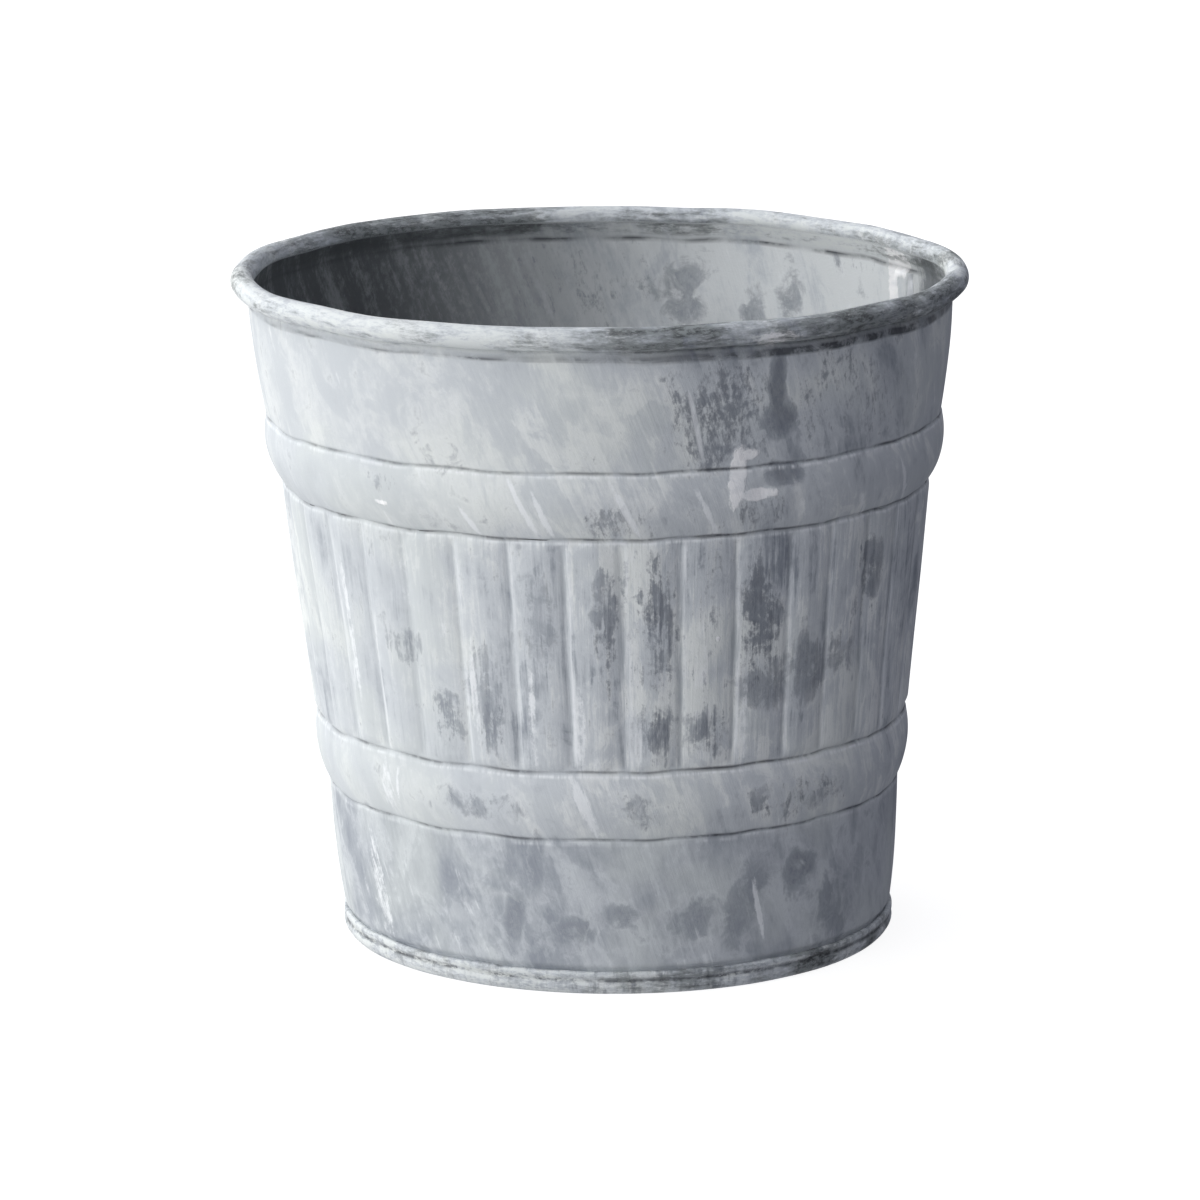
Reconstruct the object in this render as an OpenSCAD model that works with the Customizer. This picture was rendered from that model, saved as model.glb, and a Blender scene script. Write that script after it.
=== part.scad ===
// Florist bucket: a tapered sheet-metal pail with a wired rim, two rolled
// beads, a reeded band and a base disc double-seamed to the wall.
// Millimetres, +Z up. The origin is the centre of the foot ring, on the floor.

/* [Overall] */
// Height from the floor to the crest of the rolled rim.
total_h = 165.4; // [140:0.1:200]
// Outer radius of the rolled rim.
rim_r = 90; // [80:0.5:110]
// Thickness of the wall and base sheet.
sheet = 0.5; // [0.4:0.05:0.6]

/* [Rim] */
// Radius of the roll's round section.
roll_r = 2.8; // [2.4:0.1:3.6]
// Depth of the sharp crease under the rim, below the rim's crest.
neck_drop = 7.9; // [7:0.1:10]
// Outer radius of the wall at that crease.
neck_r = 86; // [76:0.5:106]
// Direction, seen along the curl, where the free edge of the curl stops.
curl_end = 243; // [240:1:260]

/* [Bands] */
// Height of the crease on top of the upper bead.
upper_crease_z = 130; // [120:0.5:135]
// Outer radius at the crease on top of the upper bead.
upper_crease_r = 82.6; // [80:0.1:90]
// Height of the top of the reeded band.
band_top_z = 113.6; // [100:0.1:118]
// Outer radius at the top of the reeded band, in the grooves.
band_top_r = 79.1; // [77:0.1:82]
// Height of the crease on top of the lower bead.
lower_crease_z = 56; // [50:0.5:62]
// Outer radius at the bottom of the reeded band, in the grooves.
band_low_r = 72.7; // [71:0.1:76]
// Height of the bottom of the lower bead.
lower_bead_z = 39; // [34:0.5:44]
// Outer radius at the bottom of the lower bead.
lower_bead_r = 70.6; // [69:0.1:72]
// Outer radius of the wall just above the base seam.
foot_r = 67.7; // [66:0.1:69]
// Bulge of the upper bead.
upper_bulge = 2; // [0.8:0.1:2.6]
// Bulge of the lower bead.
lower_bulge = 1.6; // [0.8:0.1:2.6]
// Slight belly of the plain bands above and below the beads.
belly = 0.45; // [0.1:0.05:0.6]

/* [Reeds] */
// Number of reed places round the band; the one at the side seam stays plain.
reeds = 36; // [24:1:36]
// Height of a reed above the grooves beside it.
reed_h = 0.65; // [0.3:0.05:0.9]
// Radius across a reed's back.
reed_r = 20; // [16:0.5:30]
// Length over which a reed's end runs out.
reed_end = 1.6; // [1:0.1:3]
// Distance from each end of the band to the nearest reed end.
reed_gap = 0.4; // [0.3:0.1:2]
// Direction of the first groove, clockwise from the front seen from above.
groove_offset = 3.3; // [0:0.1:10]

/* [Base seam] */
// Outer radius of the seam ring.
seam_r = 68.1; // [67:0.1:70]
// Height of the seam ring.
seam_h = 5.7; // [5:0.1:8]
// Height of the upper face of the recessed base panel.
panel_z = 4.6; // [3.5:0.1:5]
// Softening of the seam ring's lower outer edge.
seam_soft = 1.3; // [1:0.1:1.4]
// Softening of the seam ring's lower inner edge.
seam_soft_in = 0.4; // [0.2:0.1:0.6]

/* [Side seam] */
// Direction of the side seam, measured from +X toward +Y.
seam_dir = 28; // [0:1:90]
// Width of the folded lock of the side seam, in degrees of the wall.
lock_width = 4.4; // [3:0.1:6]
// Thickness of the folded lock inside the wall.
lock_t = 1; // [0.8:0.1:1.2]
// Thickness of the solder run along the lock.
solder_t = 0.6; // [0.3:0.05:0.9]
// Width of the solder run, in degrees of the wall.
solder_width = 1.8; // [1:0.1:3]

/* [Hidden] */
$fn = 128;
arc_steps = 8;
zinc = [0.66, 0.68, 0.70];
wire_grey = [0.45, 0.46, 0.48];
solder_grey = [0.80, 0.81, 0.82];
roll_c_r = rim_r - roll_r;
roll_c_z = total_h - roll_r;
neck_z = total_h - neck_drop;
wire_r = roll_r - sheet;
pitch = 360 / reeds;

// Radii of the five layers of the base seam, from inside to outside.
layer = [for (i = [0:5]) seam_r - (5 - i) * sheet];
joggle_z = seam_h + 0.5;
hook_soft = seam_soft - 0.3;
hook_low = 2 * sheet + 0.2;
joggle_top_z = joggle_z + 1;

// The sheet leaves the roll along a line tangent to its section.
neck_in_r = neck_r - sheet;
to_neck = [neck_in_r - roll_c_r, neck_z - roll_c_z];
tangent_dir = atan2(to_neck[1], to_neck[0]) + 360 - acos(roll_r / norm(to_neck));

// Band slope, used to lay the reeds along the tapered wall.
band_h = band_top_z - lower_crease_z;
band_slope = atan((band_top_r - band_low_r) / band_h);
band_len = band_h / cos(band_slope);

// Points of an arc from p to q that bulges outward by s at its middle.
function arc_radius(c, s) = c * c / (8 * s) + s / 2;
function arc_points(p, q, s) =
    let (
        c = norm(q - p),
        d = (q - p) / c,
        n = [-d[1], d[0]],
        r = arc_radius(c, s),
        centre = (p + q) / 2 - (r - s) * n,
        half = asin(c / (2 * r))
    )
    [
        for (i = [0:arc_steps])
            let (a = -half + 2 * half * i / arc_steps)
                centre + r * (cos(a) * n + sin(a) * d)
    ];

// Outer line of the wall, from the rim's crease down to the base seam.
neck_point = [neck_r, neck_z];
upper_crease = [upper_crease_r, upper_crease_z];
band_top = [band_top_r, band_top_z];
band_low = [band_low_r, lower_crease_z];
lower_bead = [lower_bead_r, lower_bead_z];
foot_point = [foot_r, joggle_top_z];

function rest(v) = [for (i = [1:len(v) - 1]) v[i]];
wall_line = concat(
    arc_points(neck_point, upper_crease, belly),
    rest(arc_points(upper_crease, band_top, upper_bulge)),
    arc_points(band_low, lower_bead, lower_bulge),
    rest(arc_points(lower_bead, foot_point, belly)),
    [[layer[2], joggle_z]]
);

// The same line moved inward, then turned round to close a profile.
function inward(v, t) = [for (p = v) [p[0] - t, p[1]]];
function turned(v) = [for (i = [len(v) - 1:-1:0]) v[i]];
function on_circle(r, a) = [roll_c_r + r * cos(a), roll_c_z + r * sin(a)];

// ---------------------------------------------------------------- profiles

// Wall from the rim's crease to the hook inside the base seam.
module wall_profile() {
    polygon(concat(
        wall_line,
        [
            [layer[2], hook_low],
            [layer[3], hook_low + sheet],
            [layer[3], seam_h - 2 * sheet],
            [layer[4], seam_h - 2 * sheet],
            [layer[4], sheet + hook_soft],
            [layer[4] - hook_soft, sheet],
            [layer[1], sheet]
        ],
        turned(inward(wall_line, sheet))
    ));
}

// Sheet between the crease and the roll.
module neck_profile() {
    polygon([
        [neck_in_r, neck_z],
        on_circle(roll_r, tangent_dir),
        on_circle(wire_r, tangent_dir),
        [neck_r, neck_z]
    ]);
}

// Curl round the wire, open between its free edge and the neck.
module curl_profile() {
    difference() {
        translate([roll_c_r, roll_c_z])
            circle(r = roll_r);
        translate([roll_c_r, roll_c_z])
            circle(r = wire_r);
        polygon([
            [roll_c_r, roll_c_z],
            on_circle(2 * roll_r, tangent_dir + 2),
            on_circle(2 * roll_r, (tangent_dir + curl_end) / 2),
            on_circle(2 * roll_r, curl_end)
        ]);
    }
}

// ------------------------------------------------------------------- reeds

// One rounded reed lying along the band, its back lowered by t. It starts
// at the depth from, measured inward from the groove surface.
module reed_body(t, from) {
    r = reed_r - t;
    drop = reed_h + sheet + 0.4;
    low = reed_gap + reed_end + t / 2;
    high = band_len - low;
    run = reed_end * drop / reed_h;
    width = 2 * PI * band_low_r / reeds;
    translate([band_low_r, 0, lower_crease_z])
        rotate([0, band_slope, 0])
            intersection() {
                translate([reed_h - reed_r, 0, 0])
                    rotate_extrude()
                        polygon([
                            [0, low - run],
                            [r - drop, low - run],
                            [r, low],
                            [r, high],
                            [r - drop, high + run],
                            [0, high + run]
                        ]);
                translate([-from, -0.48 * width, 0])
                    cube([from + reed_h + 0.5, 0.96 * width, band_len]);
            }
}

// A reed at every place but the one where the side seam runs.
module reed_set(t, from) {
    for (i = [0:reeds - 1]) {
        dir = -90 + groove_offset + (i + 0.5) * pitch;
        if (abs(dir - seam_dir) > 0.75 * pitch)
            rotate([0, 0, dir])
                reed_body(t, from);
    }
}

// ------------------------------------------------------------------- parts

// Wall: one sheet with the curl, beads, reeds, lock and seam hook.
module wall_sheet() {
    color(zinc)
        difference() {
            union() {
                rotate_extrude() {
                    wall_profile();
                    neck_profile();
                    curl_profile();
                }
                reed_set(0, 0.5 * sheet);
                seam_lock();
            }
            reed_set(sheet, sheet + 0.3);
        }
}

// Folded lock of the side seam, inside the wall.
module seam_lock() {
    inside_strip(lock_t, seam_dir - lock_width / 2, lock_width);
}

// Strip of thickness t on the inner surface of the wall.
module inside_strip(t, start, width) {
    line = concat(
        [for (p = wall_line) if (p[1] < neck_z - 0.1) p],
        [[layer[2], panel_z + 0.6]]
    );
    rotate([0, 0, start])
        rotate_extrude(angle = width)
            polygon(concat(
                inward(line, sheet),
                turned(inward(line, sheet + t))
            ));
}

// Steel wire inside the curl.
module rim_wire() {
    color(wire_grey)
        rotate_extrude()
            translate([roll_c_r, roll_c_z])
                circle(r = wire_r);
}

// Base disc: recessed panel and the folds that grip the wall's hook.
module base_disc() {
    color(zinc)
        rotate_extrude()
            polygon([
                [0, panel_z - sheet],
                [layer[0] - 1.2, panel_z - sheet],
                [layer[0], panel_z - sheet - 1.2],
                [layer[0], seam_soft_in],
                [layer[0] + seam_soft_in, 0],
                [layer[5] - seam_soft, 0],
                [layer[5], seam_soft],
                [layer[5], seam_h - 0.3],
                [layer[5] - 0.3, seam_h],
                [layer[2], seam_h],
                [layer[2], hook_low],
                [layer[3], hook_low + sheet],
                [layer[3], seam_h - 2 * sheet],
                [layer[4], seam_h - 2 * sheet],
                [layer[4], sheet + hook_soft],
                [layer[4] - hook_soft, sheet],
                [layer[1], sheet],
                [layer[1], panel_z],
                [0, panel_z]
            ]);
}

// Solder run in the corner beside the lock.
module side_seam_solder() {
    color(solder_grey)
        inside_strip(solder_t, seam_dir + lock_width / 2, solder_width);
}

// Solder fillet in the inside corner over the base disc, from one side of
// the lock round to the other.
module base_seam_solder() {
    covered = lock_width + solder_width;
    color(solder_grey)
        rotate([0, 0, seam_dir + covered - lock_width / 2])
            rotate_extrude(angle = 360 - covered)
                polygon([
                    [layer[1] - 1.6, panel_z],
                    [layer[1], panel_z],
                    [layer[1], panel_z + 1.3],
                    [layer[1] - 0.5, panel_z + 0.6]
                ]);
}

wall_sheet();
rim_wire();
base_disc();
side_seam_solder();
base_seam_solder();
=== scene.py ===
"""Florist bucket: the looks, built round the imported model.

Lengths are in millimetres in the constants and helpers, and become metres when a mesh is made.
Azimuth is in degrees: 0 faces the front (-Y), 90 faces +X.
"""

import math

import bpy
import numpy as np
from mathutils import Matrix, Vector


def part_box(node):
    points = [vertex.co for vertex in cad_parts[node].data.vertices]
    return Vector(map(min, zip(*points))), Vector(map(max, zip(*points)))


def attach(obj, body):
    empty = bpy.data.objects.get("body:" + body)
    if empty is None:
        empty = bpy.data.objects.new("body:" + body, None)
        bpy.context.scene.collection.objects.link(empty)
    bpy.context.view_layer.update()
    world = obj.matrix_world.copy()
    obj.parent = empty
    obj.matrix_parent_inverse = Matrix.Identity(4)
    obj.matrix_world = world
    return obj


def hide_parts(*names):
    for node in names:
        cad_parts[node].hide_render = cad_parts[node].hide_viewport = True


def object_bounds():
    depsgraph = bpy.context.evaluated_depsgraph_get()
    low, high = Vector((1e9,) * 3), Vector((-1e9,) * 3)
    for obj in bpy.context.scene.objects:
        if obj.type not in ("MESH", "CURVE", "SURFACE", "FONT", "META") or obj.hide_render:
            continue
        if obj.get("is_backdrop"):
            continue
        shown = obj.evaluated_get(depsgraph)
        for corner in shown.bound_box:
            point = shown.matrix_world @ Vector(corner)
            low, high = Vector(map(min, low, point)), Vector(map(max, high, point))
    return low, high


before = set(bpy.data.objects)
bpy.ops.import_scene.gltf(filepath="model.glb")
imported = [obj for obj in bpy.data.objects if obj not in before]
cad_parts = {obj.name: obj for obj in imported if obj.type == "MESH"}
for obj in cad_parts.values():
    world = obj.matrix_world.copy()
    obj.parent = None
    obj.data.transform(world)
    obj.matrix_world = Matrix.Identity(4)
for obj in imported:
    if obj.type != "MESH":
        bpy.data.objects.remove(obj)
cad_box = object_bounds()
MM = 0.001

# --------------------------------------------------------------- dimensions
_, wall_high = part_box("wall_sheet")
_, base_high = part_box("base_disc")
RIM_R = wall_high.x / MM
TOP_Z = wall_high.z / MM
SEAM_R = base_high.x / MM
SEAM_H = base_high.z / MM
SHEET = 0.5

# Rim roll: radius, centre of its section, angle of its free edge, play round the wire.
ROLL_R = 2.8
ROLL_CR = RIM_R - ROLL_R
ROLL_CZ = TOP_Z - ROLL_R
CURL_END = -114
WIRE_PLAY = 0.1

# Wall: radius and height where the outer line changes direction, and how far it bulges between.
NECK_R, NECK_Z = 86.0, TOP_Z - 7.9
UPPER_CREASE = (82.6, 130.0)
BAND_TOP = (79.1, 113.6)
BAND_LOW = (72.7, 56.0)
LOWER_BEAD = (70.6, 39.0)
FOOT = (67.7, SEAM_H + 1.5)
JOGGLE = (SEAM_R - 1.4, SEAM_H + 0.4)
WALL_END_Z = 1.2
BELLY, UPPER_BULGE, LOWER_BULGE = 0.45, 2.0, 1.6

# Creases: height, depth, width, and the soft shoulder just under each one.
CREASES = (NECK_Z, UPPER_CREASE[1], BAND_TOP[1], BAND_LOW[1], LOWER_BEAD[1])
CREASE_DEPTH, CREASE_WIDTH = 0.26, 0.34
SHOULDER_RISE, SHOULDER_WIDTH, SHOULDER_DROP = 0.10, 0.4, 0.8
CREASE_STRAY = 0.22

# Reeds: number, azimuth of one groove, height of the back, length of the rounded end.
REEDS = 36
PITCH = 360.0 / REEDS
GROOVE_AT = 3.3
REED_H = 0.6
REED_END = 2.2
REED_SIDE = 0.93  # share of the half pitch that the back takes up
GROOVE_DEPTH = 0.12

# Side seam: azimuth, width and thickness of the lock, and the line that it leaves outside.
SEAM_AZ = 118.0
LOCK_WIDTH = 4.4
LOCK_T = 1.0
SEAM_LINE = 0.35

# Base: height of the panel's top, and how far the dished middle rises above it.
PANEL_Z = 4.6
DISH_R, DISH_RISE, CENTRE_RISE = 40, 0.5, 0.9
CENTRE_R = 0.001
RING_WIDTH = 2.5

COLUMNS, RING_COLUMNS, WIRE_COLUMNS = 1260, 720, 360
LEAN = -3.8  # sideways drift of the rim against the foot
OVAL = 0.30  # how far the wall is out of round

# The finish is laid out on a straight drum; the inner face lies this far above the outer one.
DRUM_R = 80.0
INNER_SHIFT = 300.0
STREAK_LEAN = 0.35
INNER_WASH = 1.35

# Small dents: azimuth, height, depth, width.
DENTS = (
    (-40, 99, 0.45, 3.2),
    (-12, 148, 0.35, 9.0),
    (38, 143, 0.45, 7.0),
    (27, 124, 0.50, 2.6),
    (34, 120, 0.40, 3.4),
    (-55, 122, 0.40, 3.5),
    (12, 22, 0.35, 8.0),
    (70, 75, 0.40, 10.0),
    (160, 140, 0.60, 9.0),
    (205, 30, 0.50, 8.0),
    (250, 88, 0.50, 7.0),
)


# ------------------------------------------------------------ small helpers
def wave_noise(az, z, seed, cycles, bands, count=9):
    """Smooth noise round the wall, mostly from -1 to 1: sums of a few seeded waves."""
    rng = np.random.default_rng(seed)
    out = np.zeros(np.broadcast(az, z).shape)
    for _ in range(count):
        turns = rng.integers(1, cycles + 1)
        rise = rng.uniform(-bands, bands)
        phase = rng.uniform(0, 2 * math.pi)
        out = out + np.sin(np.radians(az) * turns + z / 25.0 * rise + phase)
    return out / math.sqrt(count) / 1.5


def round_noise(az, seed, cycles, count=9):
    """The same noise, equal at every height."""
    return wave_noise(az, az * 0, seed, cycles, 0, count)


def smooth(x, low, high):
    """0 below low, 1 above high, smooth between."""
    t = np.clip((x - low) / (high - low), 0, 1)
    return t * t * (3 - 2 * t)


def bell(x, centre, width):
    """A bump of height 1 at centre."""
    return np.exp(-(((x - centre) / width) ** 2))


def past(az, middle):
    """How far az lies past middle, from -180 to 180 degrees."""
    return (az - middle + 180) % 360 - 180


def around_circle(count):
    """Azimuths in equal steps, once round."""
    return np.arange(count) * 360.0 / count - 180


def grid(az, profile):
    """Azimuth, radius and height of the points where a section goes round."""
    azimuth, radius = np.meshgrid(az, profile[:, 0])
    _, height = np.meshgrid(az, profile[:, 1])
    return azimuth, radius, height


# ----------------------------------------------------------------- profile
def arc(p, q, bulge, step):
    """Points from p to q on an arc that bulges outward by bulge."""
    p, q = np.array(p, float), np.array(q, float)
    chord = np.linalg.norm(q - p)
    d = (q - p) / chord
    n = np.array([-d[1], d[0]])
    r = chord**2 / (8 * bulge) + bulge / 2
    centre = (p + q) / 2 - (r - bulge) * n
    half = math.asin(chord / (2 * r))
    count = max(3, int(chord / step) + 1)
    return [
        centre + r * (math.cos(a) * n + math.sin(a) * d)
        for a in np.linspace(-half, half, count)
    ]


def line(p, q, step):
    """Points from p to q in equal steps."""
    p, q = np.array(p, float), np.array(q, float)
    count = max(2, int(np.linalg.norm(q - p) / step) + 1)
    return [p + (q - p) * t for t in np.linspace(0, 1, count)]


def spaced(points, coarse, fine):
    """The same line with points fine apart near the creases and coarse apart elsewhere."""
    points = np.array(points)
    steps = np.linalg.norm(np.diff(points, axis=0), axis=1)
    along = np.concatenate([[0], np.cumsum(steps)])
    stops = [0.0]
    while stops[-1] < along[-1] - fine / 2:
        z = np.interp(stops[-1], along, points[:, 1])
        near = min(abs(z - crease) for crease in CREASES)
        stops.append(stops[-1] + (fine if near < 0.9 else coarse))
    stops[-1] = along[-1]
    return [np.array([np.interp(s, along, points[:, k]) for k in (0, 1)]) for s in stops]


def outer_line(step):
    """The wall's outer line, from the base seam up to the neck crease."""
    down = arc((NECK_R, NECK_Z), UPPER_CREASE, BELLY, step)
    down += arc(UPPER_CREASE, BAND_TOP, UPPER_BULGE, step)[1:]
    down += line(BAND_TOP, BAND_LOW, step)[1:]
    down += arc(BAND_LOW, LOWER_BEAD, LOWER_BULGE, step)[1:]
    down += arc(LOWER_BEAD, FOOT, BELLY, step)[1:]
    down += line(FOOT, JOGGLE, 0.3)[1:]
    down += line(JOGGLE, (JOGGLE[0], WALL_END_Z), 1.0)[1:]
    return down[::-1]


def inward(points):
    """The same line on the inner face of the sheet."""
    return [p - np.array([SHEET, 0]) for p in points]


def roll_point(r, angle):
    """A point on the rim roll's section, angle in degrees from outward."""
    a = math.radians(angle)
    return np.array([ROLL_CR + r * math.cos(a), ROLL_CZ + r * math.sin(a)])


def wall_profile():
    """Closed section of the wall sheet: its points, and 1 for outside or 0 for inside."""
    outside = spaced(outer_line(0.2), 0.7, 0.2)
    to_neck = np.array([NECK_R - SHEET - ROLL_CR, NECK_Z - ROLL_CZ])
    tangent = math.degrees(math.atan2(to_neck[1], to_neck[0])) % 360
    tangent -= math.degrees(math.acos(ROLL_R / np.linalg.norm(to_neck)))
    neck = line((NECK_R, NECK_Z), roll_point(ROLL_R - SHEET, tangent), 0.4)[1:]
    hollow_angles = np.linspace(tangent - 6, CURL_END + 2, 22)
    hollow = [roll_point(ROLL_R - SHEET, a) for a in hollow_angles]
    curl = [roll_point(ROLL_R, a) for a in np.linspace(CURL_END, tangent, 46)]
    inner_neck = line(curl[-1], (NECK_R - SHEET, NECK_Z), 0.4)[1:]
    inside = inward(reversed(spaced(outer_line(0.2), 1.6, 0.6)))
    points = outside + neck + hollow + curl + inner_neck + inside[1:]
    side = [1] * (len(outside) + len(neck) + len(hollow) + len(curl))
    side += [0] * (len(inner_neck) + len(inside) - 1)
    return np.array(points), np.array(side)


# --------------------------------------------------------- surface relief
def reeds(az, z):
    """Height of the reeds, where the grooves are, and a painted highlight right of each (0 to 1).
    """
    swayed = az + 0.55 * round_noise(az, 12, 60, 12)
    share = ((swayed - GROOVE_AT) / PITCH) % 1.0
    across = np.abs(2 * share - 1)
    stray = 0.45 * round_noise(az, 11, 60)
    near = np.minimum(BAND_TOP[1] - 0.5 + stray - z, z - BAND_LOW[1] - 0.3 + stray)
    end = 1 - np.clip(near / REED_END, 0, 1)
    height = np.clip(1 - (across / REED_SIDE) ** 2 - end**2, 0, None) * (near > 0)
    in_band = smooth(near, -0.2, 1.5)
    groove = smooth(across, 0.84, 0.985) * in_band
    worn = bell(share, 0.09, 0.035) * in_band
    plain = np.abs(past(az, SEAM_AZ)) < 0.5 * PITCH
    keep = np.where(plain, 0, 1)
    return REED_H * height * keep, groove * keep, worn * keep


def wander(az):
    """How far a crease strays up and down along the wall."""
    return CREASE_STRAY * round_noise(az, 24, 34, 12)


def relief(az, z):
    """Change of radius that both faces of the sheet share."""
    back, groove, _ = reeds(az, z)
    out = back - GROOVE_DEPTH * groove
    near = z + wander(az)
    for crease in CREASES[1:]:
        out = out - CREASE_DEPTH * bell(near, crease, CREASE_WIDTH)
        out = out + SHOULDER_RISE * bell(near, crease - SHOULDER_DROP, SHOULDER_WIDTH)
    body = smooth(z, 12, 30) * (1 - smooth(z, NECK_Z - 12, NECK_Z))
    out = out + 0.28 * wave_noise(az, z, 5, 9, 1.6) * body
    out = out + 0.10 * wave_noise(az, z, 6, 34, 5.0, 14) * body
    for dent_az, dent_z, deep, wide in DENTS:
        far = np.hypot(np.radians(past(az, dent_az)) * DRUM_R, z - dent_z)
        out = out - deep * np.exp(-((far / wide) ** 2))
    return out


def place(az, r, z):
    """Points in metres, with the hand-made waver and lean."""
    high = smooth(z, 8, 40)
    z = z + 0.28 * round_noise(az, 3, 14) * high
    steadier = 1 - 0.7 * smooth(z, NECK_Z, TOP_Z - 4)
    z = z + 0.16 * round_noise(az, 4, 46, 14) * high * steadier
    r = r + OVAL * np.cos(np.radians(2 * az + 40)) * high
    a = np.radians(az)
    x = r * np.sin(a) + LEAN * (z / TOP_Z)
    y = -r * np.cos(a)
    return np.stack([x, y, z], -1) * MM


# ------------------------------------------------------------------ meshes
def ring_mesh(name, points, az, closed, fields):
    """A mesh from rows (section) by columns (azimuth), each with its fields' values.

    The section is joined end to end if closed, and the columns are if they go right round.
    """
    rows, cols = points.shape[:2]
    whole = len(az) == cols and abs((az[-1] - az[0]) % 360) > 350
    i = np.arange(rows if closed else rows - 1)
    j = np.arange(cols if whole else cols - 1)
    i, j = np.meshgrid(i, j, indexing="ij")
    i2, j2 = (i + 1) % rows, (j + 1) % cols
    corners = [i * cols + j, i * cols + j2, i2 * cols + j2, i2 * cols + j]
    quads = np.stack(corners, -1).reshape(-1, 4)
    mesh = bpy.data.meshes.new(name)
    mesh.vertices.add(rows * cols)
    mesh.vertices.foreach_set("co", points.reshape(-1))
    mesh.loops.add(quads.size)
    mesh.loops.foreach_set("vertex_index", quads.reshape(-1))
    mesh.polygons.add(len(quads))
    mesh.polygons.foreach_set("loop_start", np.arange(0, quads.size, 4))
    mesh.polygons.foreach_set("use_smooth", np.full(len(quads), True))
    mesh.update(calc_edges=True)
    for key, values in fields.items():
        if values.ndim == 3:
            spot = mesh.attributes.new(key, "FLOAT_VECTOR", "POINT")
            spot.data.foreach_set("vector", values.reshape(-1))
        else:
            spot = mesh.attributes.new(key, "FLOAT", "POINT")
            spot.data.foreach_set("value", values.reshape(-1))
    mesh.validate()
    piece = bpy.data.objects.new(name, mesh)
    bpy.context.scene.collection.objects.link(piece)
    return piece


def on_drum(az, z, radius=DRUM_R):
    """Points on an upright drum, in metres; the finish is laid out on one."""
    a = np.radians(az)
    return np.stack([radius * np.sin(a), -radius * np.cos(a), z], -1) * MM


def slanting(az, z, side):
    """Coordinates turned with height, so that streaks slant on the plain bands."""
    rise = np.minimum(z, BAND_LOW[1]) + np.maximum(z - BAND_TOP[1], 0)
    lean = np.where(side == 1, STREAK_LEAN, -STREAK_LEAN)
    return on_drum(az + np.degrees(lean * rise / DRUM_R), z)


def layout_height(r, z, side):
    """Height used to lay out the finish: it runs on round the roll, and again inside."""
    angle = np.degrees(np.arctan2(z - ROLL_CZ, r - ROLL_CR))
    angle = (angle - CURL_END) % 360 + CURL_END
    on_roll = (side == 1) & (np.abs(np.hypot(r - ROLL_CR, z - ROLL_CZ) - ROLL_R) < 0.05)
    round_roll = ROLL_CZ + ROLL_R * np.radians(angle)
    return np.where(on_roll, round_roll, z + INNER_SHIFT * (1 - side))


def wall_fields(az, z, side, layout_z):
    """What the finish reads on the wall, besides noise."""
    near = z + wander(az)
    # Dark line in each crease: painted shade, weaker on the lit left, partly patina in the
    # groove; under the roll the painted neck shade takes over.
    crease = sum(bell(near, c, 0.36) for c in CREASES)
    crease = np.clip(crease * (0.7 + 0.6 * round_noise(az, 21, 30)), 0, 1)
    crease = np.maximum(crease * (1 - 0.35 * calm(az)), neck_shade(az, z, side))
    # Pale line just under each crease, on its raised shoulder: painted highlight.
    painted_highlight = sum(bell(near, c - 0.9, 0.35) for c in CREASES[1:])
    # Pale line on the right flank of each reed groove, the flank that faces the light at the
    # front: painted highlight.
    _, groove, edge = reeds(az, z)
    worn = np.clip(0.65 + 0.5 * wave_noise(az, z, 26, 30, 2.5), 0.1, 1)
    above_low = smooth(z, BAND_LOW[1], BAND_LOW[1] + 2)
    below_top = 1 - smooth(z, BAND_TOP[1] - 2, BAND_TOP[1])

    def marks(outer, inner):
        return stains(az, z, outer) * side + stains(az, z, inner) * (1 - side)

    return {
        "drum": on_drum(az, layout_z),
        "slant": slanting(az, layout_z, side),
        "crease": crease,
        "painted_highlight": np.maximum(painted_highlight, edge * worn),
        "wash": wash_level(az, z) * side + INNER_WASH * (1 - side),
        "calm": np.maximum(calm(az), 0.8 * under_beads(z)) * side,
        "reeded": above_low * below_top,
        "scuffed": scuffed_rim(az),
        # painted shade inside, and the bare patch beside the seam
        "inside_shade_and_bare": shaded_and_bare_inside(az) * (1 - side),
        "groove": groove,
        "rim": smooth(z, NECK_Z + 0.5, NECK_Z + 2.0),
        "inside": 1.0 - side,
        "rubbed": marks(RUBBED, INNER_RUBBED),
        "blot": marks(BLOTS, INNER_BLOTS),
        "run": marks(RUNS, INNER_RUNS),
        "blob": marks(BLOBS, INNER_BLOBS),
    }


def make_wall():
    """The wall sheet, with rim curl, beads, reeds and the seam lock."""
    profile, side = wall_profile()
    az = around_circle(COLUMNS)
    A, R, Z = grid(az, profile)
    S = np.repeat(side[:, None], COLUMNS, 1)
    fields = wall_fields(A, Z, S, layout_height(R, Z, S))
    sheet_zone = (Z < NECK_Z - 0.05) & (Z > SEAM_H)
    R = R + np.where(sheet_zone, relief(A, Z), 0)
    gap = past(A, SEAM_AZ)
    lock = (np.abs(gap) < LOCK_WIDTH / 2) & (Z < NECK_Z - 1) & (Z > PANEL_Z)
    R = R - np.where((S == 0) & lock, LOCK_T, 0)
    seam_line = SEAM_LINE * bell(gap, -LOCK_WIDTH / 2, SEAM_LINE)
    R = R - np.where((S == 1) & sheet_zone, seam_line, 0)
    return ring_mesh("wall", place(A, R, Z), az, True, fields)


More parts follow.
